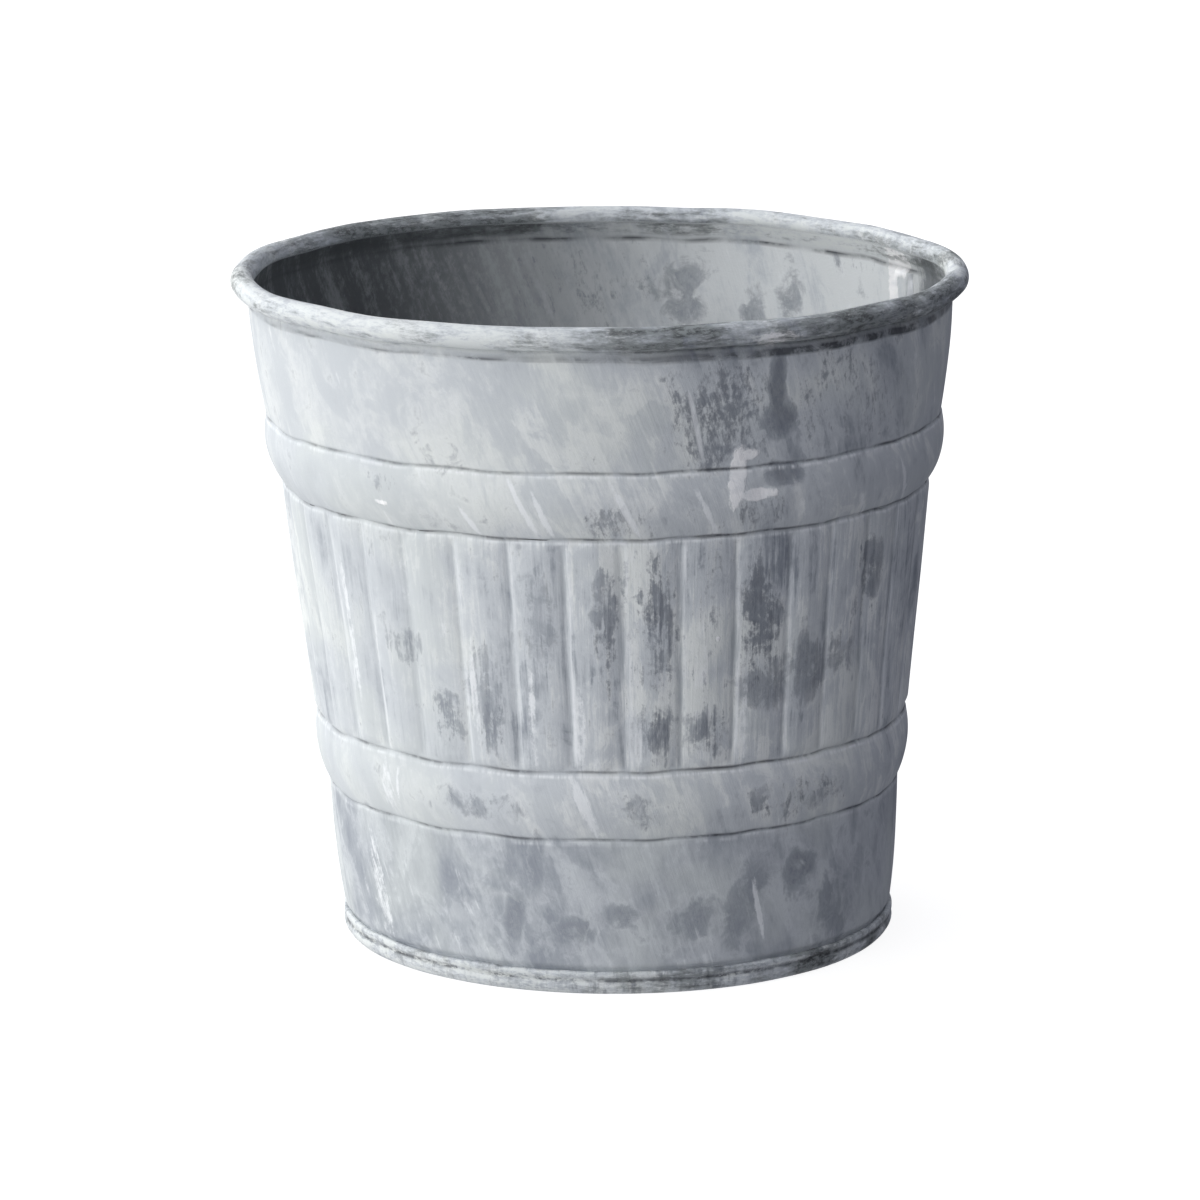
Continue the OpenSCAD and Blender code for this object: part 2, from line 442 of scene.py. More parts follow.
def wash_level(az, z):
    """Wash level, about -1 to 1: darker towards the bottom and on the front right of the top
    band.
    """
    upper = smooth(z, UPPER_CREASE[1] - 2, UPPER_CREASE[1] + 2)
    lower = under_beads(z)
    right = bell(past(az, 52), 0, 26)
    top = 0.2 + 0.2 * calm(az) - 0.55 * right
    body = 0.45 * (1 - lower) - 0.7 * lower - (0.6 - 0.2 * lower) * calm(az)
    return top * upper + body * (1 - upper)


def under_beads(z):
    """1 on the plain lower band, 0 above it."""
    return 1 - smooth(z, LOWER_BEAD[1] - 2, LOWER_BEAD[1] + 2)


def calm(az):
    """Where the wash is evenly thick: 1 on the left of the front, 0 elsewhere."""
    return bell(past(az, -50), 0, 40)


# Stretches of the rim that are more or less scuffed: azimuth, width, amount.
SCUFFS = ((48, 36, 0.17), (-135, 32, 0.17), (-45, 40, -0.08), (12, 8, 0.1))


def scuffed_rim(az):
    """How far the rim is scuffed: most on the front right and the back left."""
    out = 0.1 * round_noise(az, 22, 14)
    for middle, width, amount in SCUFFS:
        out = out + amount * bell(past(az, middle), 0, width)
    return out


def neck_shade(az, z, side):
    """Painted shade under the roll, most on the right of the front, away from the light."""
    right = bell(past(az, 45), 0, 40)
    zone = smooth(z + 0.7 * right, NECK_Z - 0.8, NECK_Z - 0.3)
    zone = zone * (1 - smooth(z, NECK_Z + 0.4, NECK_Z + 1.3))
    return zone * side * (0.25 + 0.75 * right)


def shaded_and_bare_inside(az):
    """Painted shade inside, darkest on the far left, away from the light, and a bare patch by the
    seam.
    """
    gap = np.abs(past(az, 110))
    corner = 0.75 * bell(past(az, 106), 0, 8)
    return np.maximum(smooth(gap, 38, 120), corner)


def stains(az, z, marks):
    """Strongest of some soft marks: azimuth, height, half width, half height, slant, strength."""
    out = np.zeros(az.shape)
    for mark_az, mark_z, wide, tall, slant, strength in marks:
        gap = np.radians(past(az, mark_az)) * DRUM_R
        gap = gap - slant * (z - mark_z)
        far = np.hypot(gap / wide, (z - mark_z) / tall)
        out = np.maximum(out, strength * (1 - smooth(far, 0.3, 1.3)))
    return out


# Places where the wash is rubbed back to grey metal, in specks.
RUBBED = (
    (19.5, 143, 13, 18, 0, 0.75),
    (48, 145, 24, 16, 0, 0.3),
    (14, 94, 26, 24, 0, 0.35),
    (1, 118, 9, 6, 0, 0.6),
    (27, 119, 9, 6, 0, 0.6),
    (-38, 125, 6, 4, 0, 0.6),
    (0.5, 92, 4, 24, 0, 0.5),
    (9, 92, 6, 22, 0, 0.65),
    (-31, 66, 5, 12, 0, 0.8),
    (-21, 67, 6, 9, 0, 0.6),
    (8, 66, 7, 8, 0, 0.6),
    (19, 65, 6, 7, 0, 0.6),
    (28, 96, 8, 22, 0, 0.7),
    (54, 100, 5, 14, 0, 0.6),
    (-26, 47, 18, 6, 0, 0.45),
    (5, 46, 12, 6, 0, 0.4),
    (40, 46, 26, 7, 0, 0.5),
    (165, 120, 20, 22, 0, 0.8),
    (-140, 75, 24, 26, 0, 0.8),
    (-110, 30, 18, 12, 0, 0.7),
)
INNER_RUBBED = (
    (-170, 140, 14, 20, 0, 0.6),
    (175, 128, 10, 8, 0, 0.7),
    (106, 152, 12, 16, 0, 1.0),
    (131, 155, 14, 2.5, 0, 0.5),
    (-178, 145, 24, 16, 0, 0.6),
)
# Water marks with ragged edges.
BLOTS = (
    (20, 143, 12, 16, 0, 0.35),
    (-26, 47, 17, 5, 0, 0.4),
    (4, 46, 10, 6, 0, 0.35),
    (38, 47, 22, 6, 0, 0.4),
    (29.5, 149, 2.6, 11, 0, 1.0),
    (30, 141, 5.5, 6, 0, 0.95),
    (31.5, 128, 6.0, 3.6, 0, 0.9),
    (39, 79, 9, 11, 0, 0.72),
    (47, 80, 7, 7, 0, 0.5),
    (30, 75, 10, 8, 0, 0.62),
    (29, 95, 8, 18, 0, 0.4),
    (9.6, 92, 6, 17, 0, 0.45),
    (-0.5, 96, 3.5, 13, 0, 0.45),
    (-11, 94, 5, 15, 0, 0.5),
    (-22.5, 74, 6, 16, 0, 0.42),
    (-31, 67, 6, 12, 0, 0.45),
    (9, 65, 8, 9, 0, 0.45),
    (18.5, 65, 7, 8, 0, 0.4),
    (56, 100, 5, 10, 0, 0.55),
    (-20, 19, 4, 9, 0.2, 0.65),
    (-15, 32, 3.5, 9, 0.1, 0.6),
    (-8, 16, 7, 5, 0.3, 0.6),
    (1.5, 20, 8, 4, 0, 0.48),
    (15, 18, 10, 8, 0.5, 0.6),
    (27, 21, 9, 13, 0.3, 0.65),
    (40, 28, 8, 6, 0, 0.6),
    (51, 16, 12, 11, 0, 0.6),
    (-38, 84, 5, 7, 0, 0.5),
    (150, 22, 14, 9, 0, 0.7),
    (-100, 142, 12, 10, 0, 0.7),
    (-165, 100, 10, 13, 0, 0.7),
)
INNER_BLOTS = (
    (153, 140, 5, 11, 0, 0.6),
    (146, 144, 5, 11, 0, 0.6),
    (167, 143, 10, 12, 0, 0.5),
)
# Thin pale runs of wash, most of them slanting.
RUNS = (
    (-13, 122, 1.1, 9, -0.45, 1.0),
    (-9.5, 120, 1.2, 8, -0.35, 0.9),
    (4, 121, 1.2, 9, -0.5, 1.0),
    (17.5, 120, 1.1, 9, -0.5, 0.9),
    (15.5, 142, 0.9, 12, -0.2, 0.9),
    (-22, 117, 1.2, 5, -0.6, 0.9),
    (62, 119, 1.2, 9, -0.6, 0.8),
    (50, 116, 1.1, 6, -0.6, 0.7),
    (-4.5, 47, 2.2, 10, -0.4, 0.9),
    (-47, 47, 3.0, 9, 0, 0.6),
    (-24.5, 72, 1.8, 18, 0, 0.7),
    (-13.5, 70, 1.5, 16, 0, 0.65),
    (-5, 67, 2.2, 14, 0, 0.75),
    (5.5, 64, 1.6, 10, 0, 0.65),
    (25.5, 66, 1.6, 14, 0, 0.7),
    (-55, 20, 4.4, 18, -0.15, 0.62),
    (-53, 84, 1.6, 26, 0.0, 0.7),
    (30, 19, 1.2, 10, -0.25, 1.0),
    (-44, 48, 0.7, 6, 0.1, 0.7),
)
INNER_RUNS = (
    (-157, 146, 1.4, 16, 0.45, 0.9),
    (-168, 146, 1.3, 14, 0.4, 0.8),
    (-150, 150, 1.1, 10, 0.45, 0.8),
)
# Blobs of thick wash.
BLOBS = (
    (22.8, 127.5, 2.6, 8.5, 0.1, 1.15),
    (24.5, 133.0, 3.8, 1.8, 0.2, 0.95),
    (26, 123.4, 6.0, 1.9, 0, 1.05),
    (20.2, 88.2, 0.75, 0.75, 0, 1.4),
    (-39, 120, 2.6, 1.0, 0, 0.8),
    (28, 161, 7, 2.5, 0, 1.0),
)
INNER_BLOBS = (
    (120.5, 150, 3.2, 16, 0.12, 1.3),
    (118, 158, 4.0, 4, 0, 1.0),
)


def make_rim_wire():
    """The wire inside the curl."""
    section = [roll_point(ROLL_R - SHEET - WIRE_PLAY, a) for a in np.arange(0, 360, 20)]
    az = around_circle(WIRE_COLUMNS)
    A, R, Z = grid(az, np.array(section))
    return ring_mesh("rim_wire_round", place(A, R, Z), az, True, {"drum": on_drum(A, Z)})


def base_profile():
    """Section of the base disc: over the panel, round the folded ring, back under the panel."""
    ring_in = SEAM_R - RING_WIDTH
    section = line((CENTRE_R, PANEL_Z + CENTRE_RISE), (DISH_R, PANEL_Z + DISH_RISE), 2.0)
    section += line((DISH_R, PANEL_Z + DISH_RISE), (ring_in - 4, PANEL_Z), 1.0)[1:]
    section += line((ring_in - 4, PANEL_Z), (ring_in + 0.6, PANEL_Z), 0.8)[1:]
    section += [np.array([ring_in + 0.8, PANEL_Z + 0.4])]
    # The folded ring: how far each point lies in from the widest one, and its height.
    ring = (
        (1.4, PANEL_Z + 0.4),
        (1.35, SEAM_H - 0.15),
        (1.0, SEAM_H),
        (0.5, SEAM_H),
        (0.15, SEAM_H - 0.15),
        (0.0, SEAM_H - 0.5),
        (0.0, SEAM_H - 1.2),
        (0.28, SEAM_H - 1.75),
        (0.36, SEAM_H - 2.2),
        (0.12, SEAM_H - 2.7),
        (0.02, SEAM_H - 3.3),
        (0.08, 1.9),
        (0.3, 1.3),
        (0.75, 0.6),
        (1.25, 0.12),
        (1.6, 0.0),
        (2.0, 0.0),
        (2.3, 0.15),
        (RING_WIDTH, 0.5),
    )
    section += [np.array([SEAM_R - inset, z]) for inset, z in ring]
    under = PANEL_Z - SHEET
    section += line((ring_in, 0.7), (ring_in, under - 1.2), 0.7)
    section += [np.array([ring_in - 0.4, under - 0.4]), np.array([ring_in - 1.2, under])]
    section += line((ring_in - 1.5, under), (DISH_R, under + DISH_RISE), 1.5)
    section += line((DISH_R, under + DISH_RISE), (CENTRE_R, under + CENTRE_RISE), 2.5)[1:]
    return np.array(section)


def make_base():
    """The base disc: dished panel and the rolled, slightly uneven seam ring."""
    az = around_circle(RING_COLUMNS)
    A, R, Z = grid(az, base_profile())
    edge = smooth(R, SEAM_R - RING_WIDTH, SEAM_R - 0.6)
    R = R + edge * (0.10 * round_noise(A, 31, 20) - 0.05)
    Z = Z + edge * smooth(Z, 3, SEAM_H) * 0.16 * round_noise(A, 32, 44, 14)
    points = on_drum(A, Z, R)
    drum = np.where((edge > 0.5)[..., None], on_drum(A, Z, SEAM_R), points)
    unused = ("painted_highlight", "wash", "calm", "reeded", "inside_shade_and_bare", "groove", "blot", "run", "blob")
    fields = {
        "drum": drum,
        "slant": drum,
        # painted shade in the groove round the seam ring
        "crease": bell(Z, SEAM_H - 2.1, 0.5) * edge,
        "scuffed": 0.6 * scuffed_rim(A) - 0.04,
        "rim": edge,
        "inside": 1.0 - edge,
        "rubbed": np.full(A.shape, 0.4),
        **{key: np.zeros(A.shape) for key in unused},
    }
    return ring_mesh("base", points, az, False, fields)


def make_side_solder():
    """A lumpy run of solder beside the seam lock, from the base corner up to the neck."""
    inner = [p for p in inward(outer_line(0.8)) if PANEL_Z + 0.4 < p[1] < NECK_Z - 0.3]
    profile = np.array(inner)
    side = np.linspace(-1.25, 1.15, 13)
    rng = np.random.default_rng(44)
    waver = np.convolve(rng.normal(size=len(profile)), np.ones(5) / 5, "same")
    width = 1.0 + 0.25 * waver
    start = SEAM_AZ - LOCK_WIDTH / 2
    A = start + side[None, :] * width[:, None]
    Z = np.repeat(profile[:, 1:2], len(side), 1)
    R = np.repeat(profile[:, 0:1], len(side), 1) + relief(A, Z)
    thick = (0.75 + 0.25 * wave_noise(A, Z * 6, 45, 40, 3, 12)) * LOCK_T
    R = R - np.clip(1 - (side[None, :] / 1.3) ** 2, 0, 1) * thick
    return ring_mesh("side_solder", place(A, R, Z), side, False, {"drum": on_drum(A, Z)})


def make_base_solder():
    """The fillet of solder round the inner corner of the base."""
    corner = SEAM_R - 2.0
    az = around_circle(RING_COLUMNS)
    t = np.linspace(0, 1, 9)
    wide = 1.5 + 0.25 * round_noise(az, 51, 60, 14)
    tall = 1.3 + 0.25 * round_noise(az, 52, 60, 14)
    sag = 1 - 0.45 * np.sin(math.pi * t)
    R = corner + 0.3 - (wide[None, :] + 0.3) * (t * sag)[:, None]
    Z = PANEL_Z - 0.1 + (tall[None, :] + 0.1) * ((1 - t) * sag)[:, None]
    A = np.repeat(az[None, :], len(t), 0)
    return ring_mesh("base_solder", place(A, R, Z), az, False, {"drum": on_drum(A, Z)})


# --------------------------------------------------------------- materials
class Finish:
    """A material, and short names for the shader nodes that it is wired from."""

    def __init__(self, name):
        self.material = bpy.data.materials.new(name)
        self.material.use_nodes = True
        self.tree = self.material.node_tree
        self.tree.nodes.clear()
        out = self.tree.nodes.new("ShaderNodeOutputMaterial")
        self.shader = self.tree.nodes.new("ShaderNodeBsdfPrincipled")
        self.tree.links.new(self.shader.outputs[0], out.inputs["Surface"])

    def put(self, socket, value):
        """Links value, or sets it where it is a plain number or colour."""
        if isinstance(value, bpy.types.NodeSocket):
            self.tree.links.new(value, socket)
        else:
            socket.default_value = value

    def set(self, name, value):
        """Puts a value into one of the shader's own sockets."""
        self.put(self.shader.inputs[name], value)

    def field(self, name, vector=False):
        """A value stored in the mesh."""
        node = self.tree.nodes.new("ShaderNodeAttribute")
        node.attribute_name = name
        return node.outputs["Vector" if vector else "Fac"]

    def math(self, kind, a, b, clamp=False):
        """One maths step."""
        node = self.tree.nodes.new("ShaderNodeMath")
        node.operation = kind
        node.use_clamp = clamp
        self.put(node.inputs[0], a)
        self.put(node.inputs[1], b)
        return node.outputs[0]

    def times(self, a, b, clamp=False):
        """a times b."""
        return self.math("MULTIPLY", a, b, clamp)

    def total(self, *values):
        """All the values added up."""
        out = values[0]
        for value in values[1:]:
            out = self.math("ADD", out, value)
        return out

    def around(self, value, amount):
        """A noise made to swing round 0 instead of 0.5, times amount."""
        return self.times(self.math("SUBTRACT", value, 0.5), amount)

    def span(self, value, low, high, to_low=0.0, to_high=1.0):
        """Smooth step from to_low, where value is low, to to_high, where it is high."""
        node = self.tree.nodes.new("ShaderNodeMapRange")
        node.interpolation_type = "SMOOTHSTEP"
        self.put(node.inputs["Value"], value)
        self.put(node.inputs["From Min"], low)
        self.put(node.inputs["From Max"], high)
        self.put(node.inputs["To Min"], to_low)
        self.put(node.inputs["To Max"], to_high)
        return node.outputs["Result"]

    def stretch(self, vector, scale):
        """The vector scaled along each axis."""
        node = self.tree.nodes.new("ShaderNodeMapping")
        self.put(node.inputs["Vector"], vector)
        node.inputs["Scale"].default_value = scale
        return node.outputs[0]

    def noise(self, vector, size, detail, rough, warp=0.0):
        """Noise with features about size millimetres across."""
        node = self.tree.nodes.new("ShaderNodeTexNoise")
        self.put(node.inputs["Vector"], vector)
        node.inputs["Scale"].default_value = 1000.0 / size
        node.inputs["Detail"].default_value = detail
        node.inputs["Roughness"].default_value = rough
        node.inputs["Distortion"].default_value = warp
        return node.outputs["Fac"]

    def blend(self, factor, a, b):
        """Colour a where factor is 0, b where it is 1."""
        node = self.tree.nodes.new("ShaderNodeMix")
        node.data_type = "RGBA"
        self.put(node.inputs["Factor"], factor)
        self.put(node.inputs["A"], a)
        self.put(node.inputs["B"], b)
        return node.outputs["Result"]

    def lift(self, height, strength, distance):
        """Bump from a height."""
        node = self.tree.nodes.new("ShaderNodeBump")
        self.put(node.inputs["Strength"], strength)
        node.inputs["Distance"].default_value = distance
        self.put(node.inputs["Height"], height)
        return node.outputs["Normal"]


def rgb(r, g, b):
    """A colour given as screen values from 0 to 255."""
    linear = [
        ((c / 255 + 0.055) / 1.055) ** 2.4 if c > 10 else c / 255 / 12.92
        for c in (r, g, b)
    ]
    return (*linear, 1.0)


THIN_WASH, WASH, THICK_WASH = rgb(142, 148, 157), rgb(197, 202, 206), rgb(227, 230, 229)
WASH_GREEN, INNER_BLUE = rgb(208, 214, 208), rgb(150, 163, 180)
RUBBED_DARK, RUBBED_PALE = rgb(106, 111, 122), rgb(148, 154, 162)
MARK_DARK, MARK_PALE = rgb(104, 110, 121), rgb(140, 146, 155)
MARK_MIDDLE, MARK_HALO = rgb(84, 90, 101), rgb(226, 229, 232)
RUN_WHITE = rgb(236, 239, 241)
BLOB_GREY, BLOB_WHITE = rgb(232, 234, 236), rgb(252, 252, 252)
# Painted highlight on the crease shoulders and the reed grooves' lit flanks.
PAINTED_HIGHLIGHT_WHITE = rgb(240, 243, 245)
# Painted shade in the creases, partly patina there, and in the reed grooves.
CREASE_SHADE_AND_PATINA, GROOVE_SHADE = rgb(58, 62, 68), rgb(118, 124, 132)
SCUFF_DARK, SCUFF_PALE, SCUFF_CHALK = rgb(46, 50, 50), rgb(134, 140, 140), rgb(226, 230, 227)
# Painted shade inside, also the colour of the bare patch beside the seam.
INSIDE_SHADE_AND_BARE_METAL = rgb(64, 68, 70)
SOLDER_DARK, SOLDER_PALE = rgb(176, 180, 185), rgb(222, 225, 228)
STEEL, RUST = rgb(118, 120, 124), rgb(112, 92, 78)
FLOOR_DARK, FLOOR_PALE, FLOOR_LIGHT = rgb(146, 146, 146), rgb(149, 149, 149), rgb(252, 252, 252)


def weathered_zinc(name, wear):
    """Zinc sheet under a thin chalky wash, mottled, streaked and rubbed back to grey."""
    f = Finish(name)
    drum = f.field("drum", vector=True)
    slant = f.field("slant", vector=True)
    inside = f.field("inside")
    cloud = f.noise(drum, 34, 4, 0.55, 0.6)
    patch = f.noise(f.stretch(slant, (1.0, 1.0, 0.6)), 12, 6, 0.60, 0.7)
    blotch = f.noise(drum, 6, 5, 0.66, 0.6)
    streak = f.noise(f.stretch(slant, (1.0, 1.0, 0.13)), 4.2, 5, 0.64, 0.25)
    brush = f.noise(f.stretch(drum, (1.0, 1.0, 0.07)), 1.9, 5, 0.72, 0.1)
    hair = f.noise(f.stretch(slant, (1.0, 1.0, 0.05)), 0.8, 3, 0.6)
    speck = f.noise(f.stretch(drum, (1.0, 1.0, 0.6)), 1.4, 5, 0.75)
    grain = f.noise(drum, 0.7, 3, 0.7)

    # Thickness of the wash, about 0.5 on average.
    level = f.times(f.field("wash"), 0.28)
    firm = f.span(patch, 0.50, 0.53, -0.5, 0.5)
    calm_here = f.field("calm")
    reeded = f.field("reeded")
    mottle = f.total(
        f.around(cloud, 1.2),
        f.times(firm, 0.10),
        f.around(patch, 0.95),
        f.around(blotch, 0.55),
        f.times(f.around(streak, 0.8), f.span(calm_here, 0.0, 1.0, 1.0, 0.3)),
        f.times(f.around(brush, 0.95), f.span(reeded, 0.0, 1.0, 0.35, 1.4)),
        f.around(hair, 0.25),
        f.around(speck, 0.25),
    )
    strength = f.span(calm_here, 0.0, 1.0, 1.0, 0.5)
    strength = f.times(strength, f.span(reeded, 0.0, 1.0, 1.0, 1.2))
    wash = f.total(f.times(mottle, strength), level, 0.54 + wear)
    colour = f.blend(f.span(wash, 0.0, 0.50), THIN_WASH, WASH)
    colour = f.blend(f.span(wash, 0.50, 0.95), colour, THICK_WASH)
    green = f.times(f.span(cloud, 0.45, 0.65, 0.0, 0.25), f.math("SUBTRACT", 1.0, inside))
    colour = f.blend(green, colour, WASH_GREEN)
    colour = f.blend(f.times(inside, 0.15), colour, INNER_BLUE)

    # Rubbed back to grey metal, in specks.
    rub = f.total(
        f.field("rubbed"),
        f.around(patch, 1.3),
        f.around(blotch, 1.0),
        f.around(speck, 2.2),
        f.around(brush, 1.2),
        f.around(hair, 0.9),
        f.times(level, -0.6),
        f.times(calm_here, -0.25),
    )
    rub = f.span(rub, 0.28, 0.95)
    rubbed = f.blend(f.span(blotch, 0.35, 0.65), RUBBED_DARK, RUBBED_PALE)
    colour = f.blend(f.times(rub, 0.72), colour, rubbed)

    # Water marks with firm, ragged edges, darker in the middle, with a faint pale halo.
    ragged = f.total(f.around(blotch, 1.7), f.around(patch, 1.4), f.around(speck, 0.7))
    ragged = f.total(ragged, f.times(f.around(brush, 1.7), reeded))
    mark = f.total(f.field("blot"), ragged)
    stain = f.times(f.span(mark, 0.24, 0.66), f.span(speck, 0.30, 0.70, 0.85, 0.5))
    marked = f.blend(f.span(blotch, 0.35, 0.65), MARK_DARK, MARK_PALE)
    colour = f.blend(stain, colour, marked)
    deep = f.times(f.span(mark, 0.72, 1.15), 0.45)
    colour = f.blend(deep, colour, MARK_MIDDLE)
    halo = f.times(f.span(mark, 0.08, 0.20), f.span(mark, 0.20, 0.32, 1.0, 0.0))
    colour = f.blend(f.times(halo, 0.12), colour, MARK_HALO)

    # Thin runs and thick blobs of wash.
    scratchy = f.total(f.around(hair, 1.0), f.around(speck, 1.4), f.around(blotch, 0.8))
    run = f.span(f.total(f.field("run"), scratchy), 0.35, 0.85)
    sparse = f.times(f.span(streak, 0.60, 0.70), f.span(blotch, 0.42, 0.62))
    run = f.math("MAXIMUM", run, f.times(sparse, 0.6))
    colour = f.blend(f.times(run, 0.75), colour, RUN_WHITE)
    lumpy = f.total(f.around(blotch, 1.4), f.around(speck, 0.9), f.around(streak, 0.6))
    blob = f.span(f.total(f.field("blob"), lumpy), 0.32, 0.72)
    thick = f.blend(f.span(blotch, 0.3, 0.6), BLOB_GREY, BLOB_WHITE)
    colour = f.blend(blob, colour, thick)

    # Painted highlights on the crease shoulders and on each reed groove's lit flank, and painted
    # shade in the creases and grooves.
    painted_highlight = f.times(f.field("painted_highlight"), f.span(brush, 0.40, 0.58, 0.05, 0.85))
    painted_highlight = f.times(painted_highlight, f.span(calm_here, 0.0, 1.0, 1.0, 0.5))
    colour = f.blend(painted_highlight, colour, PAINTED_HIGHLIGHT_WHITE)
    # Painted shade in the creases, partly patina, and under the roll.
    crease_shade_and_patina = f.times(f.field("crease"), f.span(blotch, 0.36, 0.56, 0.35, 1.0))
    colour = f.blend(f.times(crease_shade_and_patina, 0.95, clamp=True), colour, CREASE_SHADE_AND_PATINA)
    # Painted shade in the reed grooves, weaker on the lit left.
    slot = f.times(f.field("groove"), f.span(brush, 0.35, 0.65, 0.5, 0.05))
    slot = f.times(slot, f.span(calm_here, 0.0, 1.0, 1.0, 0.4))
    colour = f.blend(slot, colour, GROOVE_SHADE)

    # Rolled edges are scuffed along their length.
    along = f.noise(f.stretch(drum, (0.22, 0.22, 1.0)), 2.4, 6, 0.72, 0.2)
    fine = f.noise(f.stretch(drum, (0.45, 0.45, 1.0)), 1.1, 5, 0.75)
    scuff = f.total(along, f.around(patch, 0.5), f.around(fine, 0.6), f.field("scuffed"))
    worn = f.times(f.field("rim"), f.span(scuff, 0.44, 0.72))
    dull = f.blend(f.span(fine, 0.40, 0.60), SCUFF_DARK, SCUFF_PALE)
    colour = f.blend(f.times(worn, 0.9), colour, dull)
    chalk = f.times(f.field("rim"), f.span(scuff, 0.34, 0.48, 1.0, 0.0))
    colour = f.blend(f.times(chalk, 0.6), colour, SCUFF_CHALK)

    # Painted shade inside, on the wall that faces away from the light, and a bare patch by the
    # seam.
    uneven = f.total(streak, f.around(speck, 0.8))
    dark = f.times(f.field("inside_shade_and_bare"), f.span(uneven, 0.42, 0.72, 0.95, 0.76))
    colour = f.blend(dark, colour, INSIDE_SHADE_AND_BARE_METAL)

    f.set("Base Color", colour)
    f.set("Metallic", f.math("MAXIMUM", f.span(rub, 0.0, 1.0, 0.12, 0.4), f.times(inside, 0.15)))
    rough = f.math("SUBTRACT", 0.68, f.times(rub, 0.16))
    f.set("Roughness", f.total(rough, f.around(grain, 0.12)))
    height = f.total(f.times(hair, 0.4), f.times(grain, 0.4), f.times(wash, 0.3))
    height = f.total(height, f.times(blob, 0.9))
    f.set("Normal", f.lift(height, 0.4, 0.0004))
    return f.material


def solder(name):
    """Dull, lumpy solder."""
    f = Finish(name)
    drum = f.field("drum", vector=True)
    lump = f.noise(drum, 2.2, 4, 0.6)
    cloud = f.noise(drum, 7, 3, 0.5)
    f.set("Base Color", f.blend(f.span(cloud, 0.35, 0.7), SOLDER_DARK, SOLDER_PALE))
    f.set("Metallic", 0.45)
    f.set("Roughness", f.span(lump, 0.3, 0.7, 0.38, 0.66))
    f.set("Normal", f.lift(lump, 0.5, 0.0006))
    return f.material


def drawn_wire(name):
    """Grey drawn steel wire with a little rust."""
    f = Finish(name)
    drum = f.field("drum", vector=True)
    rust = f.noise(drum, 9, 4, 0.6)
    f.set("Base Color", f.blend(f.span(rust, 0.5, 0.7), STEEL, RUST))
    f.set("Metallic", 0.8)
    f.set("Roughness", f.span(rust, 0.3, 0.7, 0.4, 0.75))
    return f.material


def pale_floor(name):
    """Plain, pale studio floor."""
    f = Finish(name)
    position = f.tree.nodes.new("ShaderNodeNewGeometry").outputs["Position"]
    mottle = f.noise(position, 300, 2, 0.5)
    f.set("Base Color", f.blend(mottle, FLOOR_DARK, FLOOR_PALE))
    f.set("Roughness", 0.9)
    f.set("Specular IOR Level", 0.1)
    f.set("Emission Color", FLOOR_LIGHT)
    f.set("Emission Strength", FLOOR_GLOW)
    return f.material


# ------------------------------------------------------- camera and light
CAMERA_ELEVATION, CAMERA_ROLL, CAMERA_TURN = 12.8, 0.3, 0.7
CAMERA_DISTANCE = 1.549
CAMERA_TARGET = (-0.0041, 0, 0.0814)
SENSOR_WIDTH = 36
FOCAL_RATIO = 5.24
LEFT_GLOW = 1.6
RIGHT_GLOW = 0.245
UNDER_SHARE = 0.72
OVER_SHARE = 1.3
FLOOR_GLOW = 0.9
FLOOR_REACH = 9.0
LEFT_TINT = (1.0, 1.0, 1.0, 1.0)
RIGHT_TINT = (0.88, 0.90, 1.03, 1.0)


def make_camera():
    """Long lens, slightly above the rim, as the bucket is photographed."""
    elevation, roll = math.radians(CAMERA_ELEVATION), math.radians(CAMERA_ROLL)
    turn = math.radians(CAMERA_TURN)
    target = Vector(CAMERA_TARGET)
    forward = Vector((-math.sin(turn), math.cos(turn), 0))
    right = Vector((math.cos(turn), math.sin(turn), 0))
    ahead = forward * math.cos(elevation) - Vector((0, 0, math.sin(elevation)))
    up = forward * math.sin(elevation) + Vector((0, 0, math.cos(elevation)))
    rolled_right = right * math.cos(roll) - up * math.sin(roll)
    rolled_up = right * math.sin(roll) + up * math.cos(roll)
    camera = bpy.data.objects.new("camera", bpy.data.cameras.new("camera"))
    bpy.context.scene.collection.objects.link(camera)
    axes = Matrix((rolled_right, rolled_up, -ahead)).transposed().to_4x4()
    camera.matrix_world = Matrix.Translation(target - ahead * CAMERA_DISTANCE) @ axes
    camera.data.sensor_width = SENSOR_WIDTH
    camera.data.lens = SENSOR_WIDTH * FOCAL_RATIO
    camera.data.clip_end = 60
    bpy.context.scene.camera = camera


def make_floor():
    """A wide pale floor that lights nothing and shows in no reflection."""
    mesh = bpy.data.meshes.new("floor")
    corners = [(-1, -1), (1, -1), (1, 1), (-1, 1)]
    mesh.from_pydata([(x * FLOOR_REACH, y * FLOOR_REACH, 0) for x, y in corners], [], [range(4)])
    floor = bpy.data.objects.new("floor", mesh)
    bpy.context.scene.collection.objects.link(floor)
    floor.data.materials.append(pale_floor("pale_floor"))
    floor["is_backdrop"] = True
    floor.visible_diffuse = False
    floor.visible_glossy = False


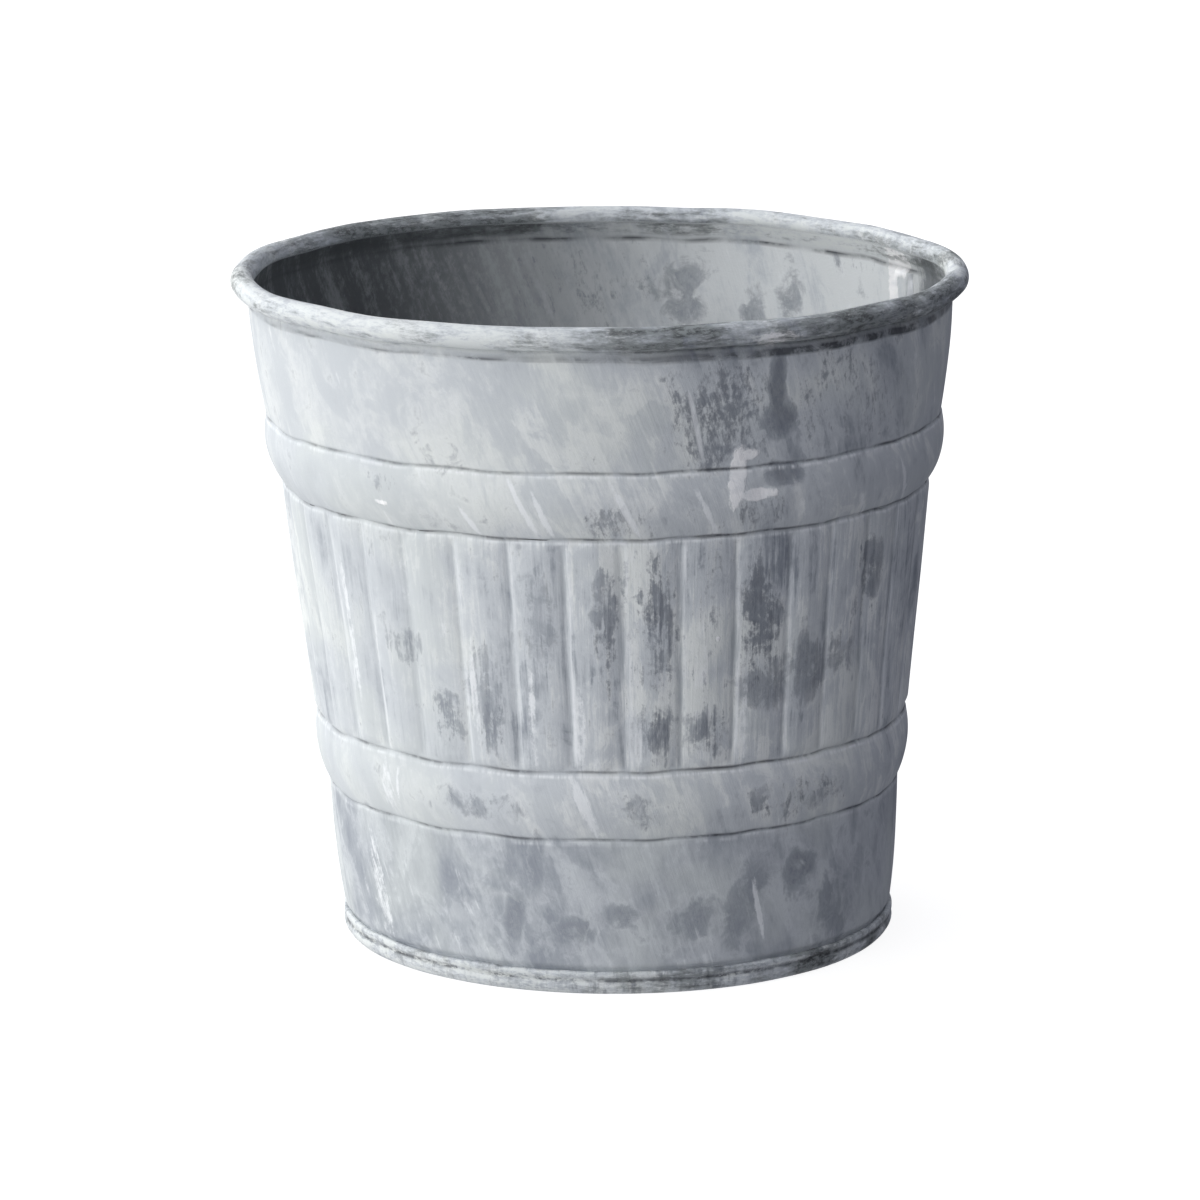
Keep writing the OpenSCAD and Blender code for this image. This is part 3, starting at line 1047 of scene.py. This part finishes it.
def make_surround():
    """A wide soft light that fills the left of the studio and fades to the right."""
    world = bpy.data.worlds.new("surround")
    bpy.context.scene.world = world
    world.use_nodes = True
    tree = world.node_tree
    sky = tree.nodes["Background"]
    way = tree.nodes.new("ShaderNodeTexCoord")
    split = tree.nodes.new("ShaderNodeSeparateXYZ")
    tree.links.new(way.outputs["Generated"], split.inputs[0])

    def fade(axis, low, high, at_low, at_high):
        """Smooth change from at_low to at_high along one axis of the direction."""
        node = tree.nodes.new("ShaderNodeMapRange")
        node.interpolation_type = "SMOOTHSTEP"
        node.inputs["From Min"].default_value = low
        node.inputs["From Max"].default_value = high
        node.inputs["To Min"].default_value = at_low
        node.inputs["To Max"].default_value = at_high
        tree.links.new(split.outputs[axis], node.inputs["Value"])
        return node.outputs["Result"]

    across = fade("X", -0.6, 0.25, LEFT_GLOW, RIGHT_GLOW)
    upward = fade("Z", -0.3, 0.5, UNDER_SHARE, OVER_SHARE)
    both = tree.nodes.new("ShaderNodeMath")
    both.operation = "MULTIPLY"
    tree.links.new(across, both.inputs[0])
    tree.links.new(upward, both.inputs[1])
    tree.links.new(both.outputs[0], sky.inputs["Strength"])
    tint = tree.nodes.new("ShaderNodeMix")
    tint.data_type = "RGBA"
    tree.links.new(fade("X", -0.6, 0.3, 0.0, 1.0), tint.inputs["Factor"])
    tint.inputs["A"].default_value = LEFT_TINT
    tint.inputs["B"].default_value = RIGHT_TINT
    tree.links.new(tint.outputs["Result"], sky.inputs["Color"])


# ------------------------------------------------------------------- build
make_camera()
zinc_wall = weathered_zinc("weathered_zinc_wall", 0.0)
zinc_base = weathered_zinc("weathered_zinc_base", 0.1)
seam_metal = solder("seam_solder")
wire_metal = drawn_wire("rim_wire_steel")

PLAN = (
    (make_wall, zinc_wall, "wall_sheet", "weathered_zinc_wall"),
    (make_rim_wire, wire_metal, "rim_wire", "rim_wire_steel"),
    (make_base, zinc_base, "base_disc", "weathered_zinc_base"),
    (make_side_solder, seam_metal, "side_seam_solder", "seam_solder"),
    (make_base_solder, seam_metal, "base_seam_solder", "seam_solder"),
)
for make, material, node, slot in PLAN:
    piece = make()
    piece.data.materials.append(material)
    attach(piece, "root")
    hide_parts(node)

make_floor()
make_surround()
bpy.context.scene.view_settings.view_transform = "Standard"


def plain(box):
    """A box as plain lists of numbers."""
    return [[float(c) for c in corner] for corner in box]


{"cad": plain(cad_box), "visual": plain(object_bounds())}
